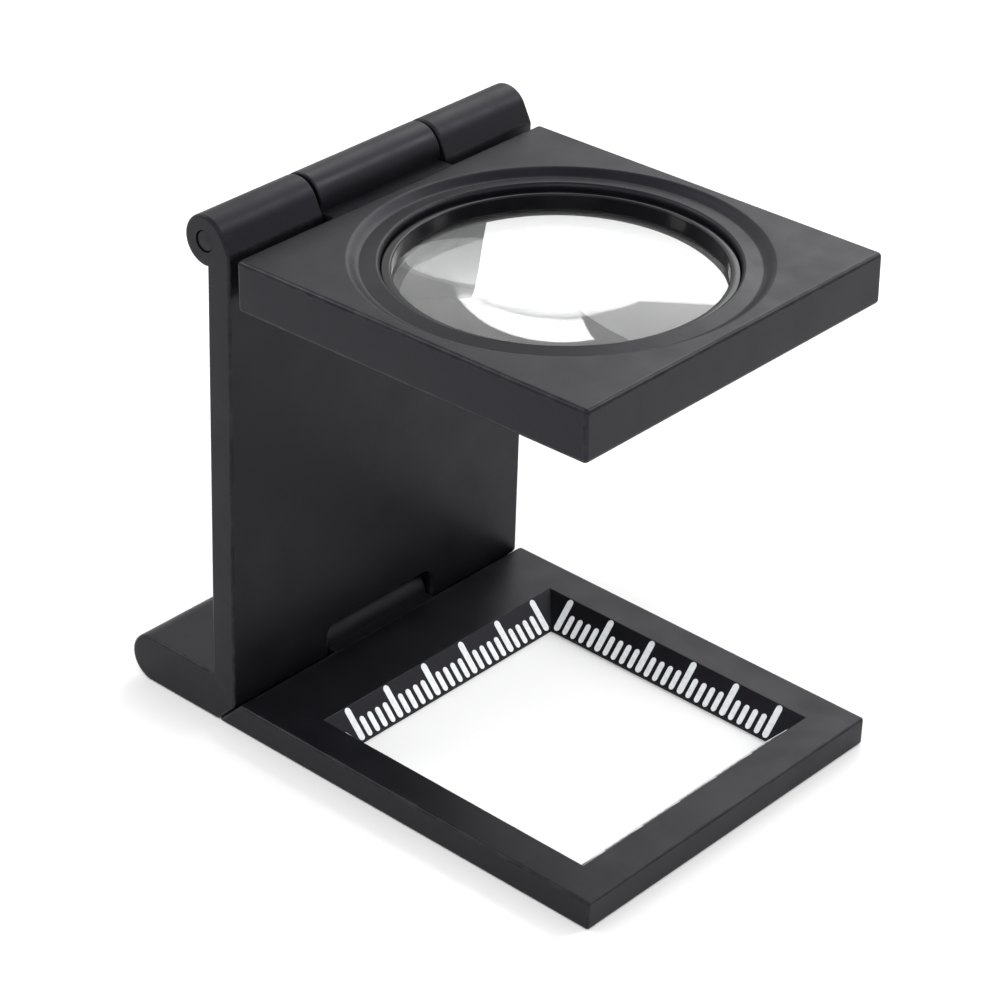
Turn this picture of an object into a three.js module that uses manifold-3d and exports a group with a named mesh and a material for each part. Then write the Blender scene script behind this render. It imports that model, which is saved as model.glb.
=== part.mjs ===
// Folding linen tester: a lens plate and a windowed base plate, each pinned to one stand.
//
// Lengths are millimetres and angles are degrees. In the design frame X runs forward from the
// base plate's rear top edge, Y runs along both hinges and Z runs up from the table. The finished
// group is moved so that its origin is the middle of the footprint.
//
// Both plates fold to the back of the stand. The lens plate turns up and over the top and lies
// behind the upright. The base plate turns down and round the heel and covers the lens plate.

import * as THREE from 'three';
import * as BufferGeometryUtils from 'three/addons/utils/BufferGeometryUtils.js';
import Module from 'manifold-3d';

const wasm = await Module();
wasm.setup();

// ---- Castings ----
const bodyWidth = 38;
const baseThickness = 2.8;
const uprightThickness = 2.7;
const plateLength = 38.4;
const plateThickness = 4.8;

// ---- Window in the base plate ----
const windowSide = 26;
const windowFlare = 2.3;
const windowLand = 0.3;
const rearRail = 6.9;
const frontRail = 3.8;

// ---- Hinge barrels ----
const lensBarrelRadius = 2.35;
const heelBarrelRadius = 2.4;
const knuckleWidth = 14.9;
const tongueWidth = 13.2;
const neckDepth = 2.6;
const neckTopDrop = 0.6;
const axisSetBack = 0.23;
const plateTopDrop = 0.5;
const openLean = 1.6;

// ---- Hinge pins ----
const lensPinRadius = 0.95;
const basePinRadius = 0.95;
const blindWall = 3;

// ---- Lens and its seat ----
const lensRadius = 14.95;
const lensEdgeThickness = 0.9;
const lensTopSag = 2.2;
const lensBottomSag = 0.85;
const seatLip = 1.3;
const seatFloor = 0.9;
const ringWall = 0.95;
const dishWidth = 2.9;
const dishDepth = 0.95;
const dishShoulder = 0.8;

// ---- Clearances ----
const footGap = 0.7;
const mitreSeatGap = 0.15;
const plateGap = 0.8;
const closedGap = 0.25;
const heelClearance = 1.1;
const knuckleSideGap = 0.3;
const slotTopGap = 0.5;
const stopGap = 0.08;
const pinPressGap = 0.02;
const pinRunningGap = 0.06;
const pinEndGap = 0.1;
const blindEndGap = 0.5;
const lensSideGap = 0.15;
const ringSideGap = 0.05;
const seatGap = 0.1;
const noseRecess = 0.44;

// ---- Roots: how far a tongue or neck runs into the plate that it is part of ----
const tongueRoot = 1;
const neckRoot = 1;

// ---- Rounding ----
const heelFillet = 0.6;
const slotCornerRadius = 1;

// ---- Facets ----
const arcSegments = 14;
const pinSegments = 48;
const lensSegments = 96;
const capSteps = 8;

// ---- Working margins ----
// A cutting shape runs past the faces that it cuts, and two joined cuts overlap a little.
const cutMargin = 1;
const joinOverlap = 0.08;
const weldTolerance = 1e-5;

// ---- Places that follow from the sizes above ----
const lean = THREE.MathUtils.degToRad(openLean);
const windowTop = windowSide + 2 * windowFlare;
const baseFrontX = rearRail + windowTop + frontRail;
const windowCentreX = rearRail + windowTop / 2;
const uprightFrontX = -footGap;
const mitreBackX = -mitreSeatGap * Math.SQRT2;
const uprightBackX = uprightFrontX - uprightThickness;
const lensAxisX = uprightBackX - axisSetBack;
const heelHeight = 2 * heelBarrelRadius;
const heelAxisX = lensAxisX - plateTopDrop - plateThickness - closedGap - heelBarrelRadius;
const plateRear = uprightFrontX + plateGap - lensAxisX;
const plateReach = plateRear + plateLength;
const plateTop = -plateTopDrop;
const plateBottom = plateTop - plateThickness;
const lensAxisZ = heelHeight + heelClearance + plateReach;
const lensCentre = plateRear + plateLength / 2;
const seatRadius = lensRadius + lensSideGap;
const dishRadius = seatRadius + dishWidth;
const ringTop = plateTop - dishDepth;
const seatZ = plateBottom + seatFloor;
const lipRadius = seatRadius - seatLip;
const ringInnerRadius = seatRadius - ringWall;
const pastSide = bodyWidth / 2 + cutMargin;
const pinFarEnd = bodyWidth / 2 - pinEndGap;
const lensBottomEdge = seatZ + seatGap + capHeight(lipRadius, lensBottomSag);
const lensTopEdge = lensBottomEdge + lensEdgeThickness;
const ringBottom = lensTopEdge + seatGap + capHeight(ringInnerRadius, lensTopSag);

// Height of a shallow spherical lens face above its rim, at a distance from the lens's axis.
function capHeight(radius, sag) {
  const curveRadius = (lensRadius ** 2 + sag ** 2) / (2 * sag);
  return Math.sqrt(curveRadius ** 2 - radius ** 2) - (curveRadius - sag);
}

// ---- Shared shape helpers ----

// Turns a closed three.js geometry into a solid that can be cut and joined.
function toSolid(geometry) {
  const bare = geometry.index ? geometry.toNonIndexed() : geometry;
  bare.deleteAttribute('normal');
  bare.deleteAttribute('uv');
  const merged = BufferGeometryUtils.mergeVertices(bare, weldTolerance);
  return new wasm.Manifold(new wasm.Mesh({
    numProp: 3,
    vertProperties: new Float32Array(merged.attributes.position.array),
    triVerts: new Uint32Array(merged.index.array),
  }));
}

// Turns a finished solid into a named mesh with its own material.
function toMesh(name, solid, colour, roughness, metalness) {
  const result = solid.getMesh();
  const geometry = new THREE.BufferGeometry();
  geometry.setAttribute('position', new THREE.BufferAttribute(result.vertProperties, 3));
  geometry.setIndex(new THREE.BufferAttribute(result.triVerts, 1));
  geometry.computeVertexNormals();
  const material = new THREE.MeshStandardMaterial({ color: colour, roughness, metalness });
  const mesh = new THREE.Mesh(geometry, material);
  mesh.name = name;
  return mesh;
}

// Extrudes an outline drawn in X and Z across the width, centred on Y = 0.
function extrudeAcross(shape, width) {
  const settings = { depth: width, bevelEnabled: false, curveSegments: arcSegments };
  const geometry = new THREE.ExtrudeGeometry(shape, settings);
  geometry.rotateX(Math.PI / 2);
  geometry.translate(0, width / 2, 0);
  return toSolid(geometry);
}

// A round bar along Y between two ends.
function barAlongY(radius, x, z, fromY, toY) {
  const geometry = new THREE.CylinderGeometry(radius, radius, toY - fromY, pinSegments);
  geometry.translate(x, (fromY + toY) / 2, z);
  return toSolid(geometry);
}

// A solid of revolution about a vertical line; the outline gives radius and height.
function turnAbout(x, outline) {
  const geometry = new THREE.LatheGeometry(outline, lensSegments);
  geometry.rotateX(Math.PI / 2);
  geometry.translate(x, 0, 0);
  return toSolid(geometry);
}

function boxBetween(low, high) {
  const size = high.clone().sub(low);
  const geometry = new THREE.BoxGeometry(size.x, size.y, size.z);
  geometry.translate((low.x + high.x) / 2, (low.y + high.y) / 2, (low.z + high.z) / 2);
  return toSolid(geometry);
}

// A square pyramid stump standing on Z = bottomZ, with its sides along X and Y.
function squareStump(centreX, bottomZ, topZ, bottomSide, topSide) {
  const height = topZ - bottomZ;
  const geometry = new THREE.CylinderGeometry(topSide / Math.SQRT2, bottomSide / Math.SQRT2, height, 4);
  geometry.rotateY(Math.PI / 4);
  geometry.rotateX(Math.PI / 2);
  geometry.translate(centreX, 0, bottomZ + height / 2);
  return toSolid(geometry);
}

// ---- Stand: upright, two lens-hinge knuckles and a heel that carries the base hinge ----

// The front of each top knuckle is a slope that leaves the barrel at a tangent and reaches the
// upright's front face level with the top of the lens plate. The mitred foot stops the base plate.
function standProfile() {
  const shoulderX = uprightFrontX - lensAxisX;
  const shoulderReach = Math.hypot(shoulderX, plateTopDrop);
  const shoulderAngle = Math.atan2(-plateTopDrop, shoulderX);
  const slopeAngle = shoulderAngle + Math.acos(lensBarrelRadius / shoulderReach);
  const backAngle = -Math.acos(axisSetBack / lensBarrelRadius);
  const profile = new THREE.Shape();
  profile.moveTo(mitreBackX - baseThickness, 0);
  profile.lineTo(heelAxisX, 0);
  profile.absarc(heelAxisX, heelBarrelRadius, heelBarrelRadius, -Math.PI / 2, Math.PI / 2, true);
  profile.lineTo(uprightBackX - heelFillet, heelHeight);
  profile.absarc(uprightBackX - heelFillet, heelHeight + heelFillet, heelFillet, -Math.PI / 2, 0, false);
  profile.absarc(lensAxisX, lensAxisZ, lensBarrelRadius, backAngle, slopeAngle, true);
  profile.lineTo(uprightFrontX, lensAxisZ - plateTopDrop);
  profile.lineTo(uprightFrontX, baseThickness + uprightFrontX - mitreBackX);
  return profile;
}

// The notch between the top knuckles; the lens plate's neck comes to rest on its floor.
function knuckleNotch() {
  const halfWidth = knuckleWidth / 2 + knuckleSideGap;
  const floorZ = lensAxisZ - neckDepth - stopGap;
  const topZ = lensAxisZ + lensBarrelRadius + cutMargin;
  const low = new THREE.Vector3(lensAxisX - lensBarrelRadius - cutMargin, -halfWidth, floorZ);
  const high = new THREE.Vector3(uprightFrontX + cutMargin, halfWidth, topZ);
  return boxBetween(low, high);
}

// The slot through the heel and the foot of the upright that the base plate's tongue lies in.
// Its outline is drawn across the width, with rounded top corners, and extruded along X.
function tongueSlot() {
  const half = tongueWidth / 2 + knuckleSideGap;
  const top = heelHeight + slotTopGap;
  const corner = slotCornerRadius;
  const outline = new THREE.Shape();
  outline.moveTo(-half, -cutMargin);
  outline.lineTo(half, -cutMargin);
  outline.absarc(half - corner, top - corner, corner, 0, Math.PI / 2, false);
  outline.absarc(-half + corner, top - corner, corner, Math.PI / 2, Math.PI, false);
  const backX = heelAxisX - heelBarrelRadius - cutMargin;
  const length = uprightFrontX + cutMargin - backX;
  const settings = { depth: length, bevelEnabled: false, curveSegments: arcSegments };
  const geometry = new THREE.ExtrudeGeometry(outline, settings);
  geometry.rotateX(Math.PI / 2);
  geometry.rotateZ(Math.PI / 2);
  geometry.translate(backX, 0, 0);
  return toSolid(geometry);
}

// The base pin is driven from the far side and stops inside the near side of the heel.
function basePinNearEnd() {
  return -bodyWidth / 2 + blindWall + blindEndGap;
}

function makeStand() {
  const lensBore = barAlongY(lensPinRadius + pinPressGap, lensAxisX, lensAxisZ, -pastSide, pastSide);
  const blindEnd = basePinNearEnd() - blindEndGap;
  const baseBoreRadius = basePinRadius + pinPressGap;
  const baseBore = barAlongY(baseBoreRadius, heelAxisX, heelBarrelRadius, blindEnd, pastSide);
  const solid = extrudeAcross(standProfile(), bodyWidth)
    .subtract(knuckleNotch())
    .subtract(tongueSlot())
    .subtract(lensBore)
    .subtract(baseBore);
  return toMesh('stand', solid, 0x2c2c2f, 0.5, 0.25);
}

// ---- Base plate: windowed frame, mitred rear end, and a tongue that ends in the heel knuckle ----

function frameProfile() {
  const profile = new THREE.Shape();
  profile.moveTo(-baseThickness, 0);
  profile.lineTo(baseFrontX, 0);
  profile.lineTo(baseFrontX, baseThickness);
  profile.lineTo(0, baseThickness);
  return profile;
}

// The tongue is as deep as the heel; its front end rounds down to the top of the frame.
function tongueProfile() {
  const noseRadius = heelHeight - baseThickness;
  const noseCentreX = uprightFrontX - noseRecess - noseRadius;
  const profile = new THREE.Shape();
  profile.moveTo(tongueRoot, 0);
  profile.lineTo(tongueRoot, baseThickness);
  profile.absarc(noseCentreX, baseThickness, noseRadius, 0, Math.PI / 2, false);
  profile.absarc(heelAxisX, heelBarrelRadius, heelBarrelRadius, Math.PI / 2, 1.5 * Math.PI, false);
  return profile;
}

// The window's four sides lean outwards above a thin upright land.
function windowCut() {
  const slope = windowFlare / (baseThickness - windowLand);
  const topZ = baseThickness + cutMargin;
  const topSide = windowTop + 2 * slope * cutMargin;
  const flare = squareStump(windowCentreX, windowLand, topZ, windowSide, topSide);
  const land = squareStump(windowCentreX, -cutMargin, windowLand + joinOverlap, windowSide, windowSide);
  return flare.add(land);
}

function makeBasePlate() {
  const bore = barAlongY(basePinRadius + pinRunningGap, heelAxisX, heelBarrelRadius, -pastSide, pastSide);
  const solid = extrudeAcross(frameProfile(), bodyWidth)
    .add(extrudeAcross(tongueProfile(), tongueWidth))
    .subtract(windowCut())
    .subtract(bore);
  return toMesh('base_plate', solid, 0x2f2f32, 0.5, 0.25);
}

// ---- Lens plate: drawn about its own hinge axis, before it is leaned open ----

function plateProfile() {
  const profile = new THREE.Shape();
  profile.moveTo(plateRear, plateBottom);
  profile.lineTo(plateReach, plateBottom);
  profile.lineTo(plateReach, plateTop);
  profile.lineTo(plateRear, plateTop);
  return profile;
}

// The barrel and the neck that joins it to the plate's rear face, a small step below its top.
// The neck's underside is level while the plate is open, so that it lies flat on the notch's floor.
function knuckleProfile() {
  const undersideZ = (x) => -(neckDepth + x * Math.sin(lean)) / Math.cos(lean);
  const neckTopAngle = -Math.asin(neckTopDrop / lensBarrelRadius);
  const neckEnd = plateRear + neckRoot;
  const profile = new THREE.Shape();
  profile.moveTo(neckEnd, undersideZ(neckEnd));
  profile.lineTo(neckEnd, -neckTopDrop);
  profile.absarc(0, 0, lensBarrelRadius, neckTopAngle, -Math.PI / 2, false);
  profile.lineTo(0, undersideZ(0));
  return profile;
}

// The dish round the lens, the bore for lens and ring, and the smaller opening under the lip.
function lensSeatCut() {
  const outline = [
    new THREE.Vector2(0, plateBottom - cutMargin),
    new THREE.Vector2(lipRadius, plateBottom - cutMargin),
    new THREE.Vector2(lipRadius, seatZ),
    new THREE.Vector2(seatRadius, seatZ),
    new THREE.Vector2(seatRadius, ringTop),
    new THREE.Vector2(dishRadius - dishShoulder, plateTop - dishDepth / 2),
    new THREE.Vector2(dishRadius, plateTop),
    new THREE.Vector2(dishRadius, plateTop + cutMargin),
    new THREE.Vector2(0, plateTop + cutMargin),
  ];
  return turnAbout(lensCentre, outline);
}

function makeLensPlate() {
  const bore = barAlongY(lensPinRadius + pinRunningGap, 0, 0, -pastSide, pastSide);
  const solid = extrudeAcross(plateProfile(), bodyWidth)
    .add(extrudeAcross(knuckleProfile(), knuckleWidth))
    .subtract(lensSeatCut())
    .subtract(bore);
  return toMesh('lens_plate', solid, 0x37373a, 0.45, 0.25);
}

// Points on one lens face, from the axis out to the rim.
function facePoints(rimZ, sag, direction) {
  const points = [];
  for (let step = 0; step <= capSteps; step += 1) {
    const radius = (lensRadius * step) / capSteps;
    points.push(new THREE.Vector2(radius, rimZ + direction * capHeight(radius, sag)));
  }
  return points;
}

function makeLens() {
  const lower = facePoints(lensBottomEdge, lensBottomSag, -1);
  const upper = facePoints(lensTopEdge, lensTopSag, 1).reverse();
  return toMesh('lens', turnAbout(lensCentre, [...lower, ...upper]), 0xe8eef0, 0.03, 0);
}

// The ring is pressed into the bore above the lens.
function makeRetainingRing() {
  const outer = seatRadius - ringSideGap;
  const inner = ringInnerRadius;
  const outline = [
    new THREE.Vector2(inner, ringBottom),
    new THREE.Vector2(outer, ringBottom),
    new THREE.Vector2(outer, ringTop),
    new THREE.Vector2(inner, ringTop),
    new THREE.Vector2(inner, ringBottom),
  ];
  return toMesh('lens_retaining_ring', turnAbout(lensCentre, outline), 0x0c0c0e, 0.15, 0.3);
}

// ---- Hinge pins ----

function makeLensHingePin() {
  const solid = barAlongY(lensPinRadius, lensAxisX, lensAxisZ, -pinFarEnd, pinFarEnd);
  return toMesh('lens_hinge_pin', solid, 0x4a4a4c, 0.4, 0.7);
}

function makeBaseHingePin() {
  const solid = barAlongY(basePinRadius, heelAxisX, heelBarrelRadius, basePinNearEnd(), pinFarEnd);
  return toMesh('base_hinge_pin', solid, 0x4a4a4c, 0.4, 0.7);
}

// ---- Assembly ----

// The open lens plate leans a little past square, front edge up, about its hinge axis.
function makeLensPlateGroup() {
  const group = new THREE.Group();
  group.add(makeLensPlate());
  group.add(makeLens());
  group.add(makeRetainingRing());
  group.rotation.y = -lean;
  group.position.set(lensAxisX, 0, lensAxisZ);
  return group;
}

function makeLinenTester() {
  const group = new THREE.Group();
  group.add(makeStand());
  group.add(makeBasePlate());
  group.add(makeLensPlateGroup());
  group.add(makeLensHingePin());
  group.add(makeBaseHingePin());
  const plateFrontX = lensAxisX + plateReach * Math.cos(lean) - plateBottom * Math.sin(lean);
  const frontX = Math.max(baseFrontX, plateFrontX);
  const backX = heelAxisX - heelBarrelRadius;
  group.position.x = -(frontX + backX) / 2;
  return group;
}

export default makeLinenTester();
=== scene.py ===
"""Folding linen tester: satin black castings, glass lens and white millimetre scales.

Lengths in the settings are metres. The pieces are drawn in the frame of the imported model:
X runs from the heel to the free edges of the plates, Y along both hinges, Z up from the table.
"""

import math

import bmesh
import bpy
from mathutils import Matrix, Vector


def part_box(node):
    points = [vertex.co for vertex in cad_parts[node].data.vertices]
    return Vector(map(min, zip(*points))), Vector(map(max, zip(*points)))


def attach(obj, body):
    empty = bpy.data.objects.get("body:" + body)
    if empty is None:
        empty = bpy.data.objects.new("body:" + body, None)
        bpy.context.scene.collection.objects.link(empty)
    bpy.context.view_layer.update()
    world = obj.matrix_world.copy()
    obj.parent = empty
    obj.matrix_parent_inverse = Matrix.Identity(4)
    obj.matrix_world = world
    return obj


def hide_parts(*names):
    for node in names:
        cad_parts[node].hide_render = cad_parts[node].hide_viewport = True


bl_info = {
    "name": "Folding linen tester",
    "version": (1, 0, 0),
    "blender": (4, 5, 0),
    "location": "View3D > Sidebar > Linen tester",
    "description": "Builds a folding linen tester on its packed mechanical model",
    "category": "Object",
}

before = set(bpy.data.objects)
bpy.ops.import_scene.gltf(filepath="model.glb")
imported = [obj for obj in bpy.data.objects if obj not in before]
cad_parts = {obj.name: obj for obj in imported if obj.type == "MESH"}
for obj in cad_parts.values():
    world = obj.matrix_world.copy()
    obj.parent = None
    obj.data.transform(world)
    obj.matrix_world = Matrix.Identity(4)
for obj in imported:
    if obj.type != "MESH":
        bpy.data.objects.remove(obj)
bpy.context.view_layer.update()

MM = 0.001


def node_box(name):
    """The low and high corner of a node's box."""
    low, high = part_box(name)
    return Vector(low), Vector(high)


STAND_LOW, STAND_HIGH = node_box("stand")
BASE_HIGH = node_box("base_plate")[1]
LENS_PIN_LOW, LENS_PIN_HIGH = node_box("lens_hinge_pin")
BASE_PIN_LOW, BASE_PIN_HIGH = node_box("base_hinge_pin")

LENS_AXIS = (LENS_PIN_LOW + LENS_PIN_HIGH) / 2
HEEL_AXIS = (BASE_PIN_LOW + BASE_PIN_HIGH) / 2
HALF_WIDTH = STAND_HIGH.y
UPRIGHT_FRONT = STAND_HIGH.x
HEEL_HEIGHT = BASE_HIGH.z


# ---- Settings ----


class LinenTesterCastings(bpy.types.PropertyGroup):
    """Sizes of the three castings."""

    base_thickness: bpy.props.FloatProperty(
        name="Base thickness", description="Thickness of the windowed base plate",
        default=2.8 * MM, unit="LENGTH")
    foot_gap: bpy.props.FloatProperty(
        name="Foot gap", description="Gap between the base plate's top edge and the upright",
        default=0.7 * MM, unit="LENGTH")
    mitre_seat_gap: bpy.props.FloatProperty(
        name="Mitre seat gap", description="Gap between the two mitred faces",
        default=0.04 * MM, unit="LENGTH")
    upright_thickness: bpy.props.FloatProperty(
        name="Upright thickness", description="Thickness of the upright",
        default=2.7 * MM, unit="LENGTH")
    axis_set_back: bpy.props.FloatProperty(
        name="Axis set back", description="Upper hinge axis behind the upright's back face",
        default=0.23 * MM, unit="LENGTH")
    plate_length: bpy.props.FloatProperty(
        name="Lens plate length", description="Length of the lens plate",
        default=38.4 * MM, unit="LENGTH")
    plate_thickness: bpy.props.FloatProperty(
        name="Lens plate thickness", description="Thickness of the lens plate",
        default=4.8 * MM, unit="LENGTH")
    plate_top_drop: bpy.props.FloatProperty(
        name="Lens plate drop", description="Top of the lens plate below its hinge axis",
        default=0.5 * MM, unit="LENGTH")
    plate_gap: bpy.props.FloatProperty(
        name="Lens plate gap", description="Gap between the lens plate and the upright",
        default=0.8 * MM, unit="LENGTH")
    open_lean: bpy.props.FloatProperty(
        name="Open lean", description="Lean of the open lens plate, front edge up",
        default=math.radians(1.6), subtype="ANGLE")
    lens_barrel_radius: bpy.props.FloatProperty(
        name="Upper barrel radius", description="Radius of the upper hinge's knuckles",
        default=2.35 * MM, unit="LENGTH")
    heel_barrel_radius: bpy.props.FloatProperty(
        name="Heel radius", description="Radius of the heel's round end",
        default=2.4 * MM, unit="LENGTH")
    knuckle_width: bpy.props.FloatProperty(
        name="Middle knuckle width", description="Width of the lens plate's knuckle",
        default=14.9 * MM, unit="LENGTH")
    tongue_width: bpy.props.FloatProperty(
        name="Tongue width", description="Width of the base plate's tongue",
        default=13.2 * MM, unit="LENGTH")
    side_gap: bpy.props.FloatProperty(
        name="Side gap", description="Gap beside each knuckle and the tongue",
        default=0.3 * MM, unit="LENGTH")
    neck_depth: bpy.props.FloatProperty(
        name="Neck depth", description="Underside of the neck below the hinge axis",
        default=2.6 * MM, unit="LENGTH")
    neck_top_drop: bpy.props.FloatProperty(
        name="Neck top drop", description="Top of the neck below the hinge axis",
        default=0.6 * MM, unit="LENGTH")
    stop_gap: bpy.props.FloatProperty(
        name="Stop gap", description="Gap between the neck and the floor of its notch",
        default=0.08 * MM, unit="LENGTH")
    slot_top_gap: bpy.props.FloatProperty(
        name="Slot top gap", description="Gap above the tongue in its slot",
        default=0.5 * MM, unit="LENGTH")
    nose_recess: bpy.props.FloatProperty(
        name="Nose recess", description="Tongue's nose behind the upright's front face",
        default=0.44 * MM, unit="LENGTH")
    heel_fillet: bpy.props.FloatProperty(
        name="Heel fillet", description="Fillet between the heel and the upright",
        default=0.6 * MM, unit="LENGTH")
    slot_corner: bpy.props.FloatProperty(
        name="Slot corner", description="Radius of the slot's upper corners",
        default=1.0 * MM, unit="LENGTH")
    edge_radius: bpy.props.FloatProperty(
        name="Edge radius", description="Rounding of the castings' outer edges",
        default=0.28 * MM, unit="LENGTH")
    plate_edge_radius: bpy.props.FloatProperty(
        name="Lens plate edge radius", description="Rounding of the lens plate's outer edges",
        default=0.42 * MM, unit="LENGTH")
    pin_radius: bpy.props.FloatProperty(
        name="Pin radius", description="Radius of both hinge pins",
        default=0.95 * MM, unit="LENGTH")
    paint: bpy.props.FloatVectorProperty(
        name="Paint", description="Colour of the satin black paint", subtype="COLOR",
        size=3, min=0, max=1, default=(0.0040, 0.0040, 0.0056))


class LinenTesterWindow(bpy.types.PropertyGroup):
    """Sizes of the base plate's window and its scales."""

    side: bpy.props.FloatProperty(
        name="Window side", description="Side of the square window at the table",
        default=26 * MM, unit="LENGTH")
    flare: bpy.props.FloatProperty(
        name="Window flare", description="How far each side leans out at the top",
        default=2.3 * MM, unit="LENGTH")
    land: bpy.props.FloatProperty(
        name="Window land", description="Upright edge below the leaning sides",
        default=0.3 * MM, unit="LENGTH")
    rear_rail: bpy.props.FloatProperty(
        name="Rear rail", description="Width of the frame behind the window",
        default=6.9 * MM, unit="LENGTH")
    long_step: bpy.props.FloatProperty(
        name="Long mark step", description="Distance between long marks",
        default=5 * MM, unit="LENGTH")
    short_step: bpy.props.FloatProperty(
        name="Short mark step", description="Distance between short marks",
        default=1 * MM, unit="LENGTH")
    mark_width: bpy.props.FloatProperty(
        name="Mark width", description="Width of one mark",
        default=0.56 * MM, unit="LENGTH")
    short_share: bpy.props.FloatProperty(
        name="Short mark share", description="Length of a short mark as a share of the side",
        default=0.58, subtype="FACTOR")
    mark_paint: bpy.props.FloatVectorProperty(
        name="Mark paint", description="Colour of the marks", subtype="COLOR",
        size=3, min=0, max=1, default=(0.86, 0.88, 0.90))


class LinenTesterLens(bpy.types.PropertyGroup):
    """Sizes of the lens, its seat and its ring."""

    radius: bpy.props.FloatProperty(
        name="Lens radius", description="Radius of the lens",
        default=14.95 * MM, unit="LENGTH")
    edge_thickness: bpy.props.FloatProperty(
        name="Edge thickness", description="Thickness of the lens at its rim",
        default=0.9 * MM, unit="LENGTH")
    top_sag: bpy.props.FloatProperty(
        name="Upper sag", description="Height of the upper face above the rim",
        default=2.2 * MM, unit="LENGTH")
    bottom_sag: bpy.props.FloatProperty(
        name="Lower sag", description="Depth of the lower face below the rim",
        default=0.85 * MM, unit="LENGTH")
    seat_lip: bpy.props.FloatProperty(
        name="Seat lip", description="Width of the lip under the lens",
        default=1.3 * MM, unit="LENGTH")
    seat_floor: bpy.props.FloatProperty(
        name="Seat floor", description="Thickness of the lip under the lens",
        default=0.9 * MM, unit="LENGTH")
    ring_wall: bpy.props.FloatProperty(
        name="Ring wall", description="Bore radius less the ring's inner radius",
        default=0.95 * MM, unit="LENGTH")
    dish_width: bpy.props.FloatProperty(
        name="Dish width", description="Width of the dish round the bore",
        default=2.9 * MM, unit="LENGTH")
    dish_depth: bpy.props.FloatProperty(
        name="Dish depth", description="Depth of the dish at the bore",
        default=0.95 * MM, unit="LENGTH")
    dish_shoulder: bpy.props.FloatProperty(
        name="Dish shoulder", description="Width of the dish's steep outer wall",
        default=0.8 * MM, unit="LENGTH")
    dish_lip: bpy.props.FloatProperty(
        name="Dish lip", description="Rounding where the dish meets the bore",
        default=0.4 * MM, unit="LENGTH")
    side_gap: bpy.props.FloatProperty(
        name="Lens side gap", description="Gap round the lens in its bore",
        default=0.15 * MM, unit="LENGTH")
    ring_side_gap: bpy.props.FloatProperty(
        name="Ring side gap", description="Gap round the ring in its bore",
        default=0.05 * MM, unit="LENGTH")
    seat_gap: bpy.props.FloatProperty(
        name="Seat gap", description="Gap under and over the lens",
        default=0.1 * MM, unit="LENGTH")
    ring_colour: bpy.props.FloatVectorProperty(
        name="Ring colour", description="Colour of the gloss black ring", subtype="COLOR",
        size=3, min=0, max=1, default=(0.002, 0.002, 0.003))


SETTINGS = (
    ("linen_castings", LinenTesterCastings),
    ("linen_window", LinenTesterWindow),
    ("linen_lens", LinenTesterLens),
)


# ---- Material helpers ----

# Where a Mix node keeps its colour sockets.
MIX_COLOUR_INPUTS = (6, 7)
MIX_COLOUR_OUTPUT = 2


class Nodes:
    """A short way to wire a material's nodes."""

    def __init__(self, name):
        self.material = bpy.data.materials.new(name)
        self.material.use_nodes = True
        self.tree = self.material.node_tree
        self.shader = self.tree.nodes["Principled BSDF"]

    def add(self, kind, **values):
        node = self.tree.nodes.new(kind)
        for key, value in values.items():
            if key.startswith("in_"):
                node.inputs[key[3:].replace("_", " ")].default_value = value
            else:
                setattr(node, key, value)
        return node

    def link(self, output, socket):
        self.tree.links.new(output, socket)

    def position(self):
        return self.add("ShaderNodeTexCoord").outputs["Object"]

    def noise(self, scale, detail, roughness=0.5):
        node = self.add("ShaderNodeTexNoise", in_Scale=scale, in_Detail=detail,
                        in_Roughness=roughness)
        self.link(self.position(), node.inputs["Vector"])
        return node.outputs["Fac"]

    def span(self, value, low, high, start, end):
        """Maps value from start..end to low..high."""
        node = self.add("ShaderNodeMapRange")
        for index, number in enumerate((start, end, low, high), start=1):
            node.inputs[index].default_value = number
        self.link(value, node.inputs[0])
        return node.outputs[0]

    def maths(self, operation, first, second):
        node = self.add("ShaderNodeMath", operation=operation)
        for index, value in enumerate((first, second)):
            if isinstance(value, (int, float)):
                node.inputs[index].default_value = value
            else:
                self.link(value, node.inputs[index])
        return node.outputs[0]

    def blend(self, share, first, second):
        """Mixes two colours, each a socket or three numbers."""
        node = self.add("ShaderNodeMix", data_type="RGBA")
        self.link(share, node.inputs[0])
        for index, colour in zip(MIX_COLOUR_INPUTS, (first, second)):
            if isinstance(colour, bpy.types.NodeSocket):
                self.link(colour, node.inputs[index])
            else:
                node.inputs[index].default_value = (*colour, 1.0)
        return node.outputs[MIX_COLOUR_OUTPUT]

    def attribute(self, name):
        return self.add("ShaderNodeAttribute", attribute_name=name).outputs["Fac"]

    def bump(self, height, strength, distance, previous=None):
        node = self.add("ShaderNodeBump", in_Strength=strength, in_Distance=distance)
        self.link(height, node.inputs["Height"])
        if previous is not None:
            self.link(previous, node.inputs["Normal"])
        return node.outputs["Normal"]


# A noise is its scale, its detail and sometimes its roughness. The scale is per metre, so
# that 1000 gives patches about a millimetre across. A band is the part of a noise's values
# that its effect is spread over. A bump is its strength and its height.
EDGE_ATTRIBUTE = "edge_wear_and_highlight"
MIDDLE_BAND = (0.3, 0.7)

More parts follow.
